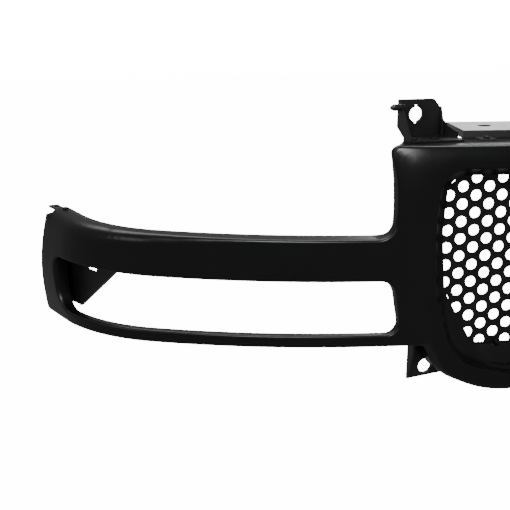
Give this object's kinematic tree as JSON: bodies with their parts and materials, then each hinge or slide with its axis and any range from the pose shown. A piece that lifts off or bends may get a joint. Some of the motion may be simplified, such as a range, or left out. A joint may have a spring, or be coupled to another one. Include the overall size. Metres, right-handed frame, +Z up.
{
  "type": "front grille",
  "caption": "Bowed black front grille with a perforated insert, wrap-round lamp openings, a header beam and keyed mounting brackets",
  "frame": {"origin": "midway between the two upper mounting holes, on the back face of their plates", "axes": "the front faces -Y, +X runs across the grille and +Z is up"},
  "size_m": [1.8326, 0.4003, 0.427],
  "materials": {
    "satin_black": "satin moulded black with a soft sheen",
    "mesh_black": "semi-gloss black, painted perforated panel",
    "bracket_black": "fine-grained moulded black",
    "beam_black": "matt moulded charcoal black",
    "zinc": "zinc-plated steel, slightly dulled",
    "black_steel": "black-coated steel"
  },
  "bodies": {
    "root": {"grille_shell": "satin_black", "mesh_insert": "mesh_black", "header_beam": "beam_black", "upper_bracket_left": "bracket_black", "upper_bracket_right": "bracket_black", "lower_bracket_left": "bracket_black", "lower_bracket_right": "bracket_black", "lamp_brace_left": "bracket_black", "lamp_brace_right": "bracket_black", "fender_tab_left": "bracket_black", "fender_tab_right": "bracket_black", "locating_pin_left": "bracket_black", "locating_pin_right": "bracket_black", "mesh_clips": "bracket_black", "mesh_push_nuts": "zinc", "beam_screws": "black_steel", "beam_nuts": "zinc", "upper_bracket_screws": "black_steel", "upper_bracket_nuts": "zinc", "lower_bracket_screws": "black_steel", "lamp_brace_screws": "black_steel", "fender_tab_screws": "black_steel"}
  },
  "joints": []
}
